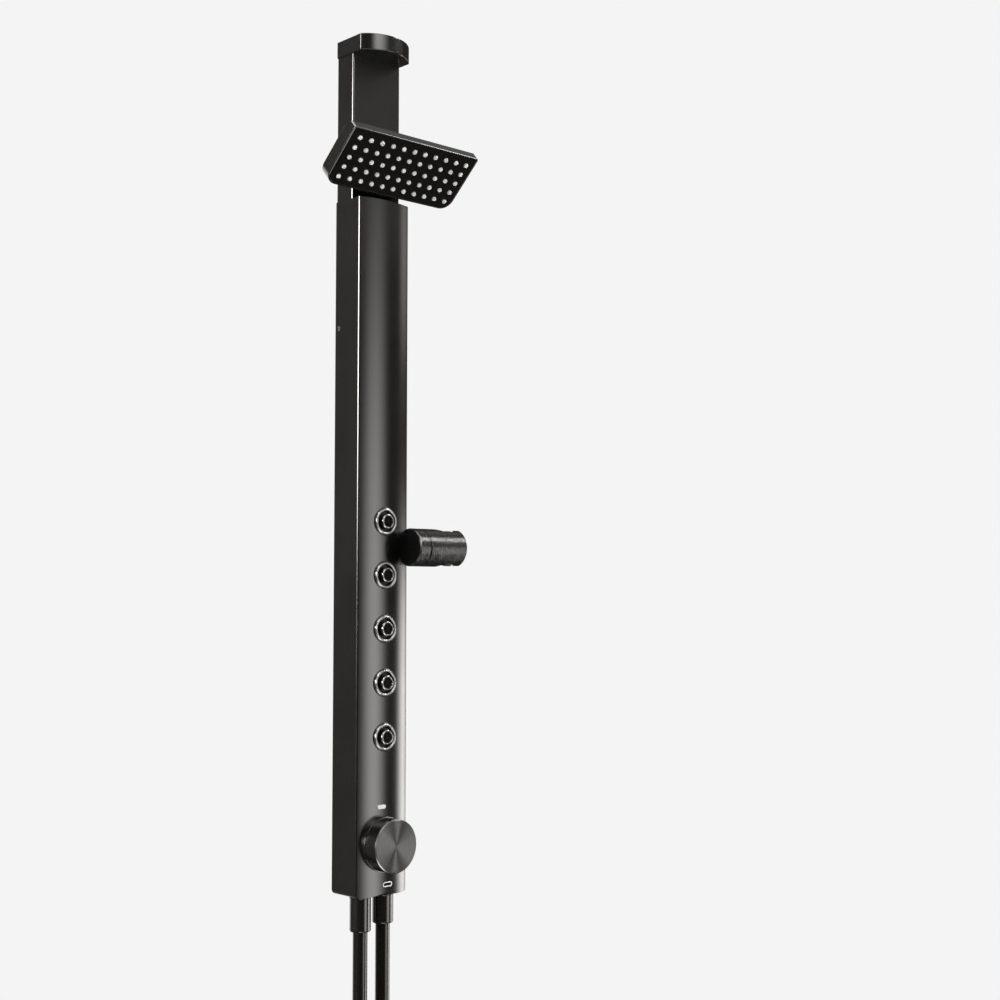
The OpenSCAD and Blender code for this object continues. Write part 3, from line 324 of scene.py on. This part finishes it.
def swept(name, outline, profile, axes, origin, closed=False):
    """Carries a profile round a closed outline. The surface point for outline point p with
    normal n and profile point (offset, height) is origin + axes applied to (p + n * offset,
    height), and its normal is n times the profile normal's first part plus its second part
    along the axis. The two ends of an open profile are closed by flat faces. The UV map holds
    the turns round the outline and the length along the profile in metres."""
    (plan, plan_normals), (run, run_normals) = outline, profile
    rows, cols = len(run), len(plan)
    axes = np.array(axes, float)
    spread = plan[None] + plan_normals[None] * run[:, :1, None]
    height = np.broadcast_to(run[:, 1:2, None], (rows, cols, 1))
    places = np.concatenate([spread, height], 2).reshape(-1, 3) @ axes + np.array(origin, float)
    lean = plan_normals[None] * run_normals[:, :1, None]
    rise = np.broadcast_to(run_normals[:, 1:2, None], (rows, cols, 1))
    normals = np.concatenate([lean, rise], 2).reshape(-1, 3) @ axes
    i, j = np.meshgrid(np.arange(rows if closed else rows - 1), np.arange(cols), indexing="ij")
    k, m = (i + 1) % rows, (j + 1) % cols
    quads = np.stack([i * cols + j, i * cols + m, k * cols + m, k * cols + j], -1).reshape(-1, 4)
    faces = quads.tolist()
    if not closed:
        faces.append(list(range(cols))[::-1])
        faces.append(list(range((rows - 1) * cols, rows * cols)))
    mesh = bpy.data.meshes.new(name)
    mesh.from_pydata(places.tolist(), [], faces)
    mesh.update()
    length = np.concatenate([[0], np.cumsum(np.linalg.norm(np.diff(run, axis=0), axis=1))])
    corners = corner_points(mesh)
    uv = np.stack([corners % cols / cols, length[corners // cols]], 1)
    # The faces that close the ring end at one whole turn, not back at zero
    closing = (m.ravel() == 0).astype(float)
    uv[:len(quads) * 4].reshape(-1, 4, 2)[:, 1:3, 0] += closing[:, None]
    mesh.uv_layers.new(name="turning").data.foreach_set("uv", uv.astype(np.float32).ravel())
    if (face_normals(mesh)[:len(quads)] * normals[quads[:, 0]]).sum() < 0:
        mesh.flip_normals()
    mesh.shade_smooth()
    mesh.normals_split_custom_set_from_vertices(normals.tolist())
    return add(name, mesh)


def vertex_places(mesh):
    """The places of a mesh's vertices, a row each."""
    places = np.zeros(len(mesh.vertices) * 3)
    mesh.vertices.foreach_get("co", places)
    return places.reshape(-1, 3)


def corner_points(mesh):
    """The vertex at each corner of each face."""
    corners = np.zeros(len(mesh.loops), np.int32)
    mesh.loops.foreach_get("vertex_index", corners)
    return corners


def face_normals(mesh):
    """The normals of a mesh's faces, a row each."""
    normals = np.zeros(len(mesh.polygons) * 3)
    mesh.polygons.foreach_get("normal", normals)
    return normals.reshape(-1, 3)


SHORTEST = 1e-9


def scaled_to_one(vectors):
    """Vectors divided by their lengths, and those lengths."""
    length = np.linalg.norm(vectors, axis=-1, keepdims=True)
    return vectors / np.maximum(length, SHORTEST), length[..., 0]


def cylinder(point, axis, radius):
    """How far places are from a cylinder, and its normals there, which point from its axis."""
    point, axis = np.array(point, float), np.array(axis, float)

    def measure(places):
        away = places - point
        outward, reach = scaled_to_one(away - (away @ axis)[..., None] * axis)
        return abs(reach - radius), outward
    return measure


def torus(point, axis, ring_radius, radius):
    """How far places are from a torus, and its normals there, which point from its ring."""
    point, axis = np.array(point, float), np.array(axis, float)

    def measure(places):
        away = places - point
        spoke, _ = scaled_to_one(away - (away @ axis)[..., None] * axis)
        outward, reach = scaled_to_one(away - spoke * ring_radius)
        return abs(reach - radius), outward
    return measure


WELD_GAP = 1e-7
SURFACE_TOLERANCE = 0.02 * MM
TURN_LIMIT = math.cos(math.radians(16))
SHARP_ANGLE = math.radians(32)


def copied(node, name, *rounds):
    """A merged copy of a node's mesh of triangles. Those whose corners all lie on one of the
    given round surfaces, and which nearly face along its normals, get those normals at their
    corners. All others stay flat."""
    mesh = NODES[node].data.copy()
    mesh.name = name
    welded = bmesh.new()
    welded.from_mesh(mesh)
    bmesh.ops.remove_doubles(welded, verts=welded.verts, dist=WELD_GAP)
    welded.to_mesh(mesh)
    welded.free()
    mesh.update()
    corners = vertex_places(mesh)[corner_points(mesh)].reshape(-1, 3, 3)
    flat = face_normals(mesh)[:, None]
    normals = np.repeat(flat, 3, 1)
    for measure in rounds:
        error, outward = measure(corners)
        lean = (outward * flat).sum(-1)
        fits = (error.max(1) < SURFACE_TOLERANCE) & (abs(lean).min(1) > TURN_LIMIT)
        normals[fits] = (outward * np.sign(lean)[..., None])[fits]
    mesh.shade_smooth()
    mesh.normals_split_custom_set(normals.reshape(-1, 3).tolist())
    return add(name, mesh)


def softened(node, name, width, steps=3):
    """A merged copy of a node's mesh whose sharp edges a Bevel modifier rounds."""
    made = copied(node, name)
    mesh = made.data
    mesh.attributes.remove(mesh.attributes["custom_normal"])
    mesh.set_sharp_from_angle(angle=SHARP_ANGLE)
    bevel = made.modifiers.new("soft edges", "BEVEL")
    bevel.width = width
    bevel.segments = steps
    bevel.limit_method = "ANGLE"
    bevel.angle_limit = SHARP_ANGLE
    bevel.harden_normals = True
    return made


def add(name, data):
    """A new object at the origin."""
    made = bpy.data.objects.new(name, data)
    bpy.context.scene.collection.objects.link(made)
    return made


def dress(piece, body, slot, node, finish=None):
    """Puts a new piece on its body, gives it its finish and hides the node it stands for."""
    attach(piece, body)
    piece.data.materials.clear()
    piece.data.materials.append(FINISHES[finish or slot])
    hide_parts(node)
    return piece


def refinish(piece, finish, chosen):
    """Gives another finish to the faces of a piece whose centres pass the test."""
    mesh = piece.data
    centres = np.zeros(len(mesh.polygons) * 3)
    mesh.polygons.foreach_get("center", centres)
    mesh.materials.append(FINISHES[finish])
    given = np.zeros(len(mesh.polygons), np.int32)
    mesh.polygons.foreach_get("material_index", given)
    given[chosen(centres.reshape(-1, 3))] = len(mesh.materials) - 1
    mesh.polygons.foreach_set("material_index", given)


# Column, upper section and caps

EDGE_R = 2.4 * MM
CAP_H = 20 * MM
CAP_EDGE_R = 1.2 * MM
FOOT_EDGE_R = 6 * MM
FOOT_FRONT_R = 3 * MM
COLUMN_SIDE_D = 44 * MM
WALL = 2.5 * MM


def bowed_front(node):
    """The front of an outline that is a node's width wide and COLUMN_SIDE_D deep at its sides.
    Its radius for half width w and bulge b is (w * w + b * b) / 2b. Gives that radius, the Y
    of its axis, and the upright cylinders of the front's two faces and its two edges."""
    low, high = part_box(node)
    half, front = high.x, low.y
    bulge = -front - COLUMN_SIDE_D
    radius = (half * half + bulge * bulge) / (2 * bulge)
    middle_y = front + radius
    edge_x = half - EDGE_R
    edge_y = middle_y - math.sqrt((radius - EDGE_R) ** 2 - edge_x ** 2)
    return radius, middle_y, [
        cylinder((0, middle_y, 0), Z_AXIS, radius),
        cylinder((0, middle_y, 0), Z_AXIS, radius - WALL),
        cylinder((-edge_x, edge_y, 0), Z_AXIS, EDGE_R),
        cylinder((edge_x, edge_y, 0), Z_AXIS, EDGE_R)]


def make_column():
    """The extrusions and their end pieces, with the true normals of their round surfaces."""
    _, _, front = bowed_front("column_housing")
    dress(copied("column_housing", "column_body", *front), "column", "satin_black", "column_housing")
    dress(copied("shoulder_plate", "column_shoulder", *front), "column", "cap_black", "shoulder_plate")
    low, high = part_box("foot_cap")
    lower = [cylinder((side * (high.x - FOOT_EDGE_R), 0, low.z + FOOT_EDGE_R), Y_AXIS, FOOT_EDGE_R)
             for side in (-1, 1)]
    lower.append(cylinder((0, low.y + FOOT_FRONT_R, low.z + FOOT_FRONT_R), X_AXIS, FOOT_FRONT_R))
    dress(copied("foot_cap", "column_foot", *front, *lower), "column", "satin_black", "foot_cap")
    low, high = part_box("upper_housing")
    edges = [cylinder((side * (high.x - EDGE_R), low.y + EDGE_R, 0), Z_AXIS, EDGE_R)
             for side in (-1, 1)]
    dress(copied("upper_housing", "rail_body", *edges), "column", "satin_black", "upper_housing")


def make_cap():
    """The top cap, whose upper and lower rims are round too: tori round its bowed front and
    level cylinders along its sides."""
    radius, middle_y, front = bowed_front("top_cap")
    _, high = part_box("top_cap")
    rims = []
    for z in (high.z - CAP_H + CAP_EDGE_R, high.z - CAP_EDGE_R):
        rims.append(torus((0, middle_y, z), Z_AXIS, radius - CAP_EDGE_R, CAP_EDGE_R))
        rims.extend(cylinder((side * (high.x - CAP_EDGE_R), 0, z), Y_AXIS, CAP_EDGE_R)
                    for side in (-1, 1))
    dress(copied("top_cap", "cap_body", *front, *rims), "column", "cap_black", "top_cap")


# Rain head

HEAD_PIVOT = (0, -0.0425, -0.099)
HEAD_TILT = math.radians(42)
RIM_R = 1.5 * MM
RIM_NEAR = 0.4 * MM
INNER_SHARE = 0.25
FRONT_CORNER_R = 3.5 * MM
BACK_CORNER_R = 15 * MM


def rim_points(mesh):
    """Which of the head shell's vertices lie on the outer edge of its rim: those within
    RIM_NEAR of the rim's level and of its outline, a rectangle with round corners. The depth
    inside that outline is the lesser of the distances to the nearest long and short side, or
    in a corner the corner's radius less the distance from the corner's centre."""
    away = vertex_places(mesh) - np.array(HEAD_PIVOT)
    across = away @ np.array((0, math.cos(HEAD_TILT), -math.sin(HEAD_TILT)))
    height = away @ np.array((0, math.sin(HEAD_TILT), math.cos(HEAD_TILT)))
    front, back = across.min(), across.max()
    corner = np.where(across > (front + back) / 2, BACK_CORNER_R, FRONT_CORNER_R)
    aside = abs(away[:, 0]).max() - abs(away[:, 0])
    along = np.minimum(across - front, back - across)
    in_corner = corner - np.hypot(corner - aside, corner - along)
    depth = np.where(np.maximum(aside, along) < corner, in_corner, np.minimum(aside, along))
    return (height < height.min() + RIM_NEAR) & (depth < RIM_NEAR)


def make_head():
    """The shell, its spray face and its hinge plate with softly rounded edges. The shell's
    sharp edges are rounded by RIM_R round its rim outside and by a share of that elsewhere."""
    shell = dress(softened("head_shell", "head_back", RIM_R, 5), "head", "head_black", "head_shell")
    mesh = shell.data
    ends = np.zeros(len(mesh.edges) * 2, np.int32)
    mesh.edges.foreach_get("vertices", ends)
    sharp = np.zeros(len(mesh.edges), bool)
    mesh.attributes["sharp_edge"].data.foreach_get("value", sharp)
    on_rim = rim_points(mesh)[ends].reshape(-1, 2).all(1)
    weight = np.where(on_rim, 1.0, INNER_SHARE) * sharp
    mesh.attributes.new("bevel_weight_edge", "FLOAT", "EDGE").data.foreach_set(
        "value", weight.astype(np.float32))
    bevel = shell.modifiers[0]
    bevel.limit_method = "WEIGHT"
    bevel.use_clamp_overlap = False
    dress(softened("head_face_plate", "head_face", 0.25 * MM, 2), "head", "face_black", "head_face_plate")
    dress(softened("head_mount", "hinge_plate", 0.5 * MM), "column", "dark_plastic", "head_mount")


# Body jets

BEZEL_PROFILE = (
    (13.55, 0, 0.1), (16.5, 0, 0.15), (16.5, 1.9, 0.35), (15.15, 1.9, 0.1), (15.15, 3, 1.05),
    (12.4, 3, 1.05), (12.4, 1.8, 0.1), (13.55, 1.8, 0.1))
FLANGE_R = 15.2 * MM
CUP_RIM = 6.6
CUP_PROFILE = (
    (2.25, -7, 0.1), (4.5, -7, 0.1), (4.5, 0, 0.5), (7.6, 0, 0.9), (8.5, 0.9, 0.5),
    (8.5, CUP_RIM, 1.0), (6.7, CUP_RIM, 0.3), (6.6, 5.8, 0.1), (6.6, 3.1, 0.1), (2.25, 3.1, 0.1))
TURNED_SIDES = 96


def make_jets():
    """Each bezel is a bright bead on a black flange, and each cup a thin-walled tube."""
    for i in JETS:
        low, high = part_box(f"jet_bezel_{i}")
        centre = (0, high.y, (low.z + high.z) / 2)
        bezel = swept(f"bezel_ring_{i}", ring(TURNED_SIDES), turned_profile(BEZEL_PROFILE), FACING_FRONT,
                      centre, closed=True)
        dress(bezel, "column", "polished_metal", f"jet_bezel_{i}")
        refinish(bezel, "nut_black", lambda at: np.hypot(at[:, 0], at[:, 2] - centre[2]) > FLANGE_R)
        low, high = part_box(f"jet_cup_{i}")
        centre = (0, low.y + CUP_RIM * MM, (low.z + high.z) / 2)
        cup = swept(f"spray_cup_{i}", ring(TURNED_SIDES), turned_profile(CUP_PROFILE), FACING_FRONT,
                    centre, closed=True)
        dress(cup, f"jet_{i}", "cup_metal", f"jet_cup_{i}")


# Knob

KNOB_PROFILE = (
    (0.15, 13, 0), (4.02, 13, 0.1), (4.02, 0, 0.15), (8, 0, 0.3), (8, 15, 0.5), (26.5, 15, 0.5),
    (26.5, 0, 0.3), (29.9, 0, 0.4), (30.5, 0.7, 0.4), (30.5, 17.75, 0.25), (29.25, 19, 0.25),
    (0.15, 19, 0))
KNOB_SIDES = 160
# How far behind the knob's front its bright cut edge starts and ends
CUT_STARTS = 0.055 * MM
CUT_ENDS = 1.1 * MM
TRIM_EDGE = 0.35 * MM


def make_knob():
    """The knob is a hollow turned cup, with a spun face, a bright cut edge and coated sides. It
    stands on a black trim ring with a bright front edge."""
    low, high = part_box("knob")
    centre = ((low.x + high.x) / 2, high.y, (low.z + high.z) / 2)
    knob = swept("knob_cup", ring(KNOB_SIDES), turned_profile(KNOB_PROFILE, closed=False), FACING_FRONT,
                 centre)
    dress(knob, "knob", "brushed_black", "knob")
    refinish(knob, "bright_edge", lambda at: at[:, 1] > low.y + CUT_STARTS)
    refinish(knob, "nut_black", lambda at: at[:, 1] > low.y + CUT_ENDS)
    trim = dress(softened("knob_trim", "knob_ring", TRIM_EDGE), "column", "cap_black", "knob_trim")
    trim_low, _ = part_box("knob_trim")
    refinish(trim, "polished_metal", lambda at: at[:, 1] < trim_low.y + TRIM_EDGE / 2)


# Handset holder

END_NEAR = 0.05 * MM


def make_holder():
    """Two short turned barrels on one line. The fixed one's near end is dull black, and it
    casts no mirror image on the column's glossy front, where the photograph has none."""
    low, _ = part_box("holder_base")
    base = softened("holder_base", "holder_disc", 1.2 * MM)
    base.visible_glossy = False
    dress(base, "column", "satin_black", "holder_base", finish="turned_black")
    refinish(base, "black_rubber", lambda at: at[:, 0] < low.x + END_NEAR)
    arm = softened("holder_arm", "holder_cradle", 0.5 * MM)
    dress(arm, "holder", "satin_black", "holder_arm", finish="turned_black")


# Light marks

ARC_R = 117.08 * MM
SIGN_X = 5 * MM
SIGN_LINE = 1.2 * MM
SIGN_H = 0.5 * MM
# A pill's arcs have nearly half its height, so that two of them don't share a point
PILL_SHARE = 0.99


def make_sign():
    """The lower mark is an upright line bent round a pill: the pill's outline carries a flat
    band whose middle is half the band's width inside the mark's edge. It lies on the plane
    that touches the round front at the mark."""
    low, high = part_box("lower_mark")
    turn = math.asin(SIGN_X / ARC_R)
    sin_t, cos_t = math.sin(turn), math.cos(turn)
    axes = ((cos_t, sin_t, 0), (0, 0, 1), (sin_t, -cos_t, 0))
    centre = np.array(((low.x + high.x) / 2, (low.y + high.y) / 2, (low.z + high.z) / 2))
    tall = (high.z - low.z - SIGN_LINE) / 2
    long = ((high.x - low.x) / cos_t - SIGN_LINE) / 2
    arc = tall * PILL_SHARE
    pill = rounded([(long, -tall, arc), (long, tall, arc), (-long, tall, arc), (-long, -tall, arc)], 12)
    half, rise = SIGN_LINE / 2, SIGN_H / 2
    band = rounded([(-half, -rise, 0), (half, -rise, 0), (half, rise, 0.1 * MM), (-half, rise, 0.1 * MM)], 3)
    sign = swept("pill_line", pill, band, axes, centre, closed=True)
    dress(sign, "column", "white_print", "lower_mark")


# Hoses and their nuts

HOSE_D = 17 * MM
HOSE_LENGTH = 0.45
HOSE_X = 16.5 * MM
HOSE_Y = -27 * MM
HOSE_SIDES = 48
HOSE_TOPS = {"left": -0.9706, "right": -0.9651}
ROUTE_SHARES = (0, 0.08, 0.16, 0.24, 0.32, 0.4, 0.48, 0.56, 0.64, 0.72, 0.8, 0.9, 1)


def make_hose(side, name):
    """A round tube that hangs straight down from its nut."""
    x = side * HOSE_X
    path = [(x, HOSE_Y, HOSE_TOPS[name] - HOSE_LENGTH * share) for share in ROUTE_SHARES]
    run = np.array([(HOSE_D / 2, -HOSE_LENGTH * share) for share in ROUTE_SHARES])
    outward = np.repeat([[1.0, 0.0]], len(run), 0)
    hose = swept(f"hose_{name}", ring(HOSE_SIDES), (run, outward), STANDING, path[0])
    dress(hose, "column", "hose_black", f"supply_hose_{name}")
    make_coupling(name)
    end_nut = make_end_nut(name)


def make_coupling(name):
    """A turned coupling nut as high as its node: a thin collar above a plain barrel with a
    rounded lower edge, on a bore that is wider above."""
    low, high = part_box(f"hose_nut_{name}")
    h = (high.z - low.z) / MM
    corners = ((6.1, 0, 0.1), (11.4, 0, 0.8), (12.3, 1.2, 0.8), (12.3, h - 2.5, 0.1), (12.6, h - 2.2, 0.1),
               (13, h - 2.2, 0.4), (13, h, 0.5), (10.3, h, 0.3), (10.3, h - 10.4, 0.1), (6.1, h - 10.4, 0.1))
    nut = swept(f"coupling_{name}", ring(TURNED_SIDES), turned_profile(corners), STANDING,
                ((low.x + high.x) / 2, (low.y + high.y) / 2, low.z), closed=True)
    dress(nut, "column", "nut_black", f"hose_nut_{name}")


# The thread of the end nuts in millimetres
THREAD_R = 9.4
THREAD_DEPTH = 0.5
THREAD_PITCH = 1.6
THREAD_STARTS = 1.2
THREAD_TURNS = 6


def make_end_nut(name):
    """A turned nut with a threaded mouth. Its thread is a row of fine grooves: k pitches above
    its start it has the bore's radius, and half a pitch higher the radius plus the depth."""
    low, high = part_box(f"hose_end_nut_{name}")
    thread = []
    for k in range(THREAD_TURNS):
        height = THREAD_STARTS + k * THREAD_PITCH
        thread += [(THREAD_R, height, 0.1), (THREAD_R + THREAD_DEPTH, height + THREAD_PITCH / 2, 0.1)]
    corners = [(0.15, 12, 0), (THREAD_R, 12, 0.2)] + thread[::-1] + [
        (9.6, 0, 0.3), (11.1, 0, 0.4), (12.3, 1.2, 0.6), (12.3, 22.6, 0.6), (10.9, 24, 0.4), (0.15, 24, 0)]
    nut = swept(f"end_coupling_{name}", ring(TURNED_SIDES), turned_profile(corners, closed=False), STANDING,
                ((low.x + high.x) / 2, (low.y + high.y) / 2, low.z))
    return dress(nut, "column", "nut_black", f"hose_end_nut_{name}")


# Light

BACKDROP = 0.9047
AMBIENT = 0.05
FLOOR_GAP = 12 * MM
FLOOR_HALF = 30.0
WHITE = (1.02, 1.0, 0.97, 1)
WARM = (1.13, 1.0, 0.84, 1)

# Each row is a soft box: its level, then the azimuths and the elevations where it starts, is
# full, is still full and ends. The comment above it says what shows it most.
WHITE_BOXES = (
    # Left half of the column's round front
    (2.7, (2, 22, 24, 44), (-24, -14, -2, 20)),
    # Right edge of the column's front, from its middle down
    (6.8, (56, 71, 73, 76), (-26, -18, -3, 4)),
    # The same edge, from its middle up
    (1.1, (57, 68, 72, 76), (8, 11, 14, 20)),
    # Flat front of the upper section, faintly
    (0.16, (16, 28, 60, 70), (12.5, 14, 18.4, 19.4)),
    # Round front of the cap, and the sides of the jets and the knob
    (3.6, (-34, -14, -10, 24), (18.5, 19.5, 40, 60)),
    # Thin line down the left front edge of the upper section and the column
    (26.0, (-126, -116, -82, -72), (1, 8, 18.4, 19.4)),
    # Thin line along the front of the rain head's rim, and the top of the handset holder
    (20.0, (46, 51, 64, 73), (25, 29, 41, 47)),
    # Front band of the rain head
    (0.3, (84, 94, 116, 126), (34, 40, 60, 75)),
    # Front left corner of the rain head, and small spots on the round pieces
    (12.0, (-108, -100, -80, -70), (53, 58, 70, 78)),
    # Right sides of the hoses and their nuts
    (2.2, (78, 84, 104, 114), (-24, -18, -10, -6)),
    # Face of the rain head with its nozzles, and the undersides of the jets and the knob
    (4.0, (-70, -50, 10, 25), (-88, -80, -50, -38)),
    # Surfaces that face up
    (2.0, (-200, -190, 190, 200), (66, 76, 91, 92)),
    # Back of the column, seen from behind
    (1.6, (142, 154, 190, 200), (-40, -20, 40, 60)),
    (1.6, (-200, -190, -168, -158), (-40, -20, 40, 60)))
WARM_BOXES = (
    # Left sides of the column and the upper section
    (0.06, (-170, -160, -126, -118), (-40, -20, 20, 24)),)


class Studio:
    """The world as a dark studio with soft boxes, behind a plain pale backdrop."""

    def __init__(self):
        world = bpy.data.worlds.new("studio")
        world.use_nodes = True
        bpy.context.scene.world = world
        self.tree = world.node_tree
        self.tree.nodes.clear()
        direction = self.node("ShaderNodeTexCoord").outputs["Generated"]
        apart = self.node("ShaderNodeSeparateXYZ", {0: direction}).outputs
        front = self.compute("MULTIPLY", apart["Y"], -1)
        self.azimuth = self.compute("MULTIPLY", self.compute("ARCTAN2", apart["X"], front), 180 / math.pi)
        self.elevation = self.compute("MULTIPLY", self.compute("ARCSINE", apart["Z"]), 180 / math.pi)

    def node(self, kind, inputs=(), **settings):
        """A new node in this tree."""
        return add_node(self.tree, kind, inputs, **settings)

    def compute(self, operation, a, b=0.0):
        """A sum or function of one or two values or sockets."""
        return self.node("ShaderNodeMath", {0: a, 1: b}, operation=operation).outputs[0]

    def step(self, value, start, end):
        """Rises smoothly from 0 at start to 1 at end, or falls where end is below start."""
        low, high = min(start, end), max(start, end)
        made = self.node("ShaderNodeMapRange", {
            "Value": value, "From Min": low, "From Max": high,
            "To Min": float(start > end), "To Max": float(start < end)}, interpolation_type="SMOOTHSTEP")
        return made.outputs["Result"]

    def box(self, level, azimuths, elevations):
        """A soft box is its level times a step up and a step down of both angles."""
        glow = level
        for angle, (start, full, last, end) in ((self.azimuth, azimuths), (self.elevation, elevations)):
            glow = self.compute("MULTIPLY", self.step(angle, start, full), glow)
            glow = self.compute("MULTIPLY", self.step(angle, end, last), glow)
        return glow

    def light(self, boxes, tint, ambient=0.0):
        """The light of one tint: the sum of its boxes and of an even light from all round."""
        total = ambient
        for box in boxes:
            total = self.compute("ADD", total, self.box(*box))
        return self.node("ShaderNodeBackground", {"Color": tint, "Strength": total}).outputs[0]

    def set_up(self):
        """Camera rays see the backdrop and all others see the soft boxes, on a weak warm light
        from all round."""
        white = self.light(WHITE_BOXES, WHITE)
        warm = self.light(WARM_BOXES, WARM, AMBIENT)
        light = self.node("ShaderNodeAddShader", {0: white, 1: warm}).outputs[0]
        plain = self.node("ShaderNodeBackground", {"Color": (1, 1, 1, 1), "Strength": BACKDROP}).outputs[0]
        seen = self.node("ShaderNodeLightPath").outputs["Is Camera Ray"]
        mixed = self.node("ShaderNodeMixShader", {0: seen, 1: light, 2: plain})
        self.node("ShaderNodeOutputWorld", {"Surface": mixed.outputs[0]})


def make_floor():
    """A wide pale floor just below the lowest piece, which melts into the backdrop. Camera rays
    see it glow, and all others pass through it."""
    half = FLOOR_HALF
    height = cad_low.z - FLOOR_GAP
    mesh = bpy.data.meshes.new("floor")
    mesh.from_pydata([(-half, -half, height), (half, -half, height), (half, half, height),
                      (-half, half, height)], [], [(0, 1, 2, 3)])
    floor = add("floor", mesh)
    material = bpy.data.materials.new("pale floor")
    material.use_nodes = True
    tree = material.node_tree
    tree.nodes.clear()
    glow = add_node(tree, "ShaderNodeEmission", {"Strength": BACKDROP}).outputs[0]
    clear = add_node(tree, "ShaderNodeBsdfTransparent").outputs[0]
    seen = add_node(tree, "ShaderNodeLightPath").outputs["Is Camera Ray"]
    mixed = add_node(tree, "ShaderNodeMixShader", {0: seen, 1: clear, 2: glow})
    add_node(tree, "ShaderNodeOutputMaterial", {"Surface": mixed.outputs[0]})
    mesh.materials.append(material)


make_camera()
FINISHES = make_finishes()
for row in frame["record"]["subparts"]:
    node_mesh = NODES[row["node"]].data
    node_mesh.materials.clear()
    node_mesh.materials.append(FINISHES[row["material_slot"]])
make_column()
make_cap()
make_head()
make_jets()
make_knob()
make_holder()
make_sign()
make_hose(-1, "left")
make_hose(1, "right")
Studio().set_up()
make_floor()

bpy.context.scene.view_settings.view_transform = "Standard"
